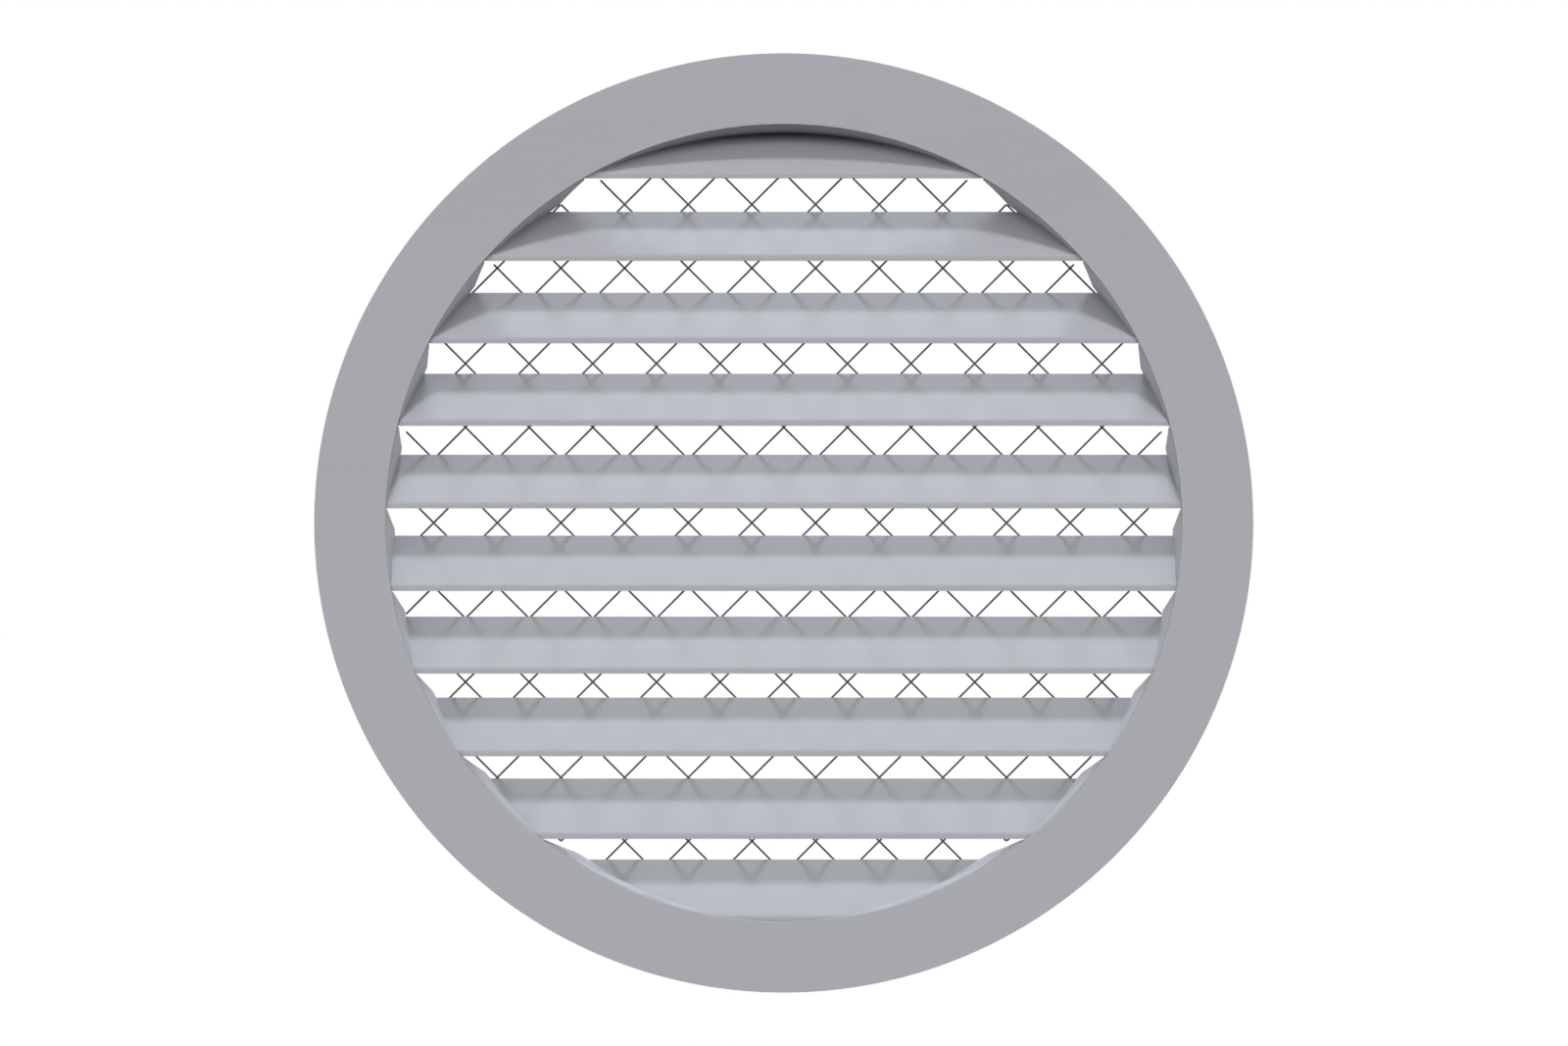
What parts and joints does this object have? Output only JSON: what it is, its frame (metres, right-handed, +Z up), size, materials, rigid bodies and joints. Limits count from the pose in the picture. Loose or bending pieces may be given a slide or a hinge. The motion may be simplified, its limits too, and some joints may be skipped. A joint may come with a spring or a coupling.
{
  "type": "wall vent terminal",
  "caption": "Round wall vent terminal: flat face ring, pressed disc of horizontal louvres, welded bird mesh behind them and a plain spigot for a round duct.",
  "frame": {"origin": "on the duct's axis, in the plane that seats on the wall", "axes": "+Y along the spigot into the duct, +Z up, +X to the right as seen from outside; the louvred face looks along -Y"},
  "size_m": [0.28, 0.0218, 0.28],
  "materials": {
    "face_aluminium": "satin",
    "louvre_aluminium": "satin",
    "collar_aluminium": "mill",
    "galvanised_wire": "dull galvanised"
  },
  "bodies": {
    "root": {"face_ring": "face_aluminium", "louvre_disc": "louvre_aluminium", "spigot_collar": "collar_aluminium", "bird_mesh": "galvanised_wire"}
  },
  "joints": []
}
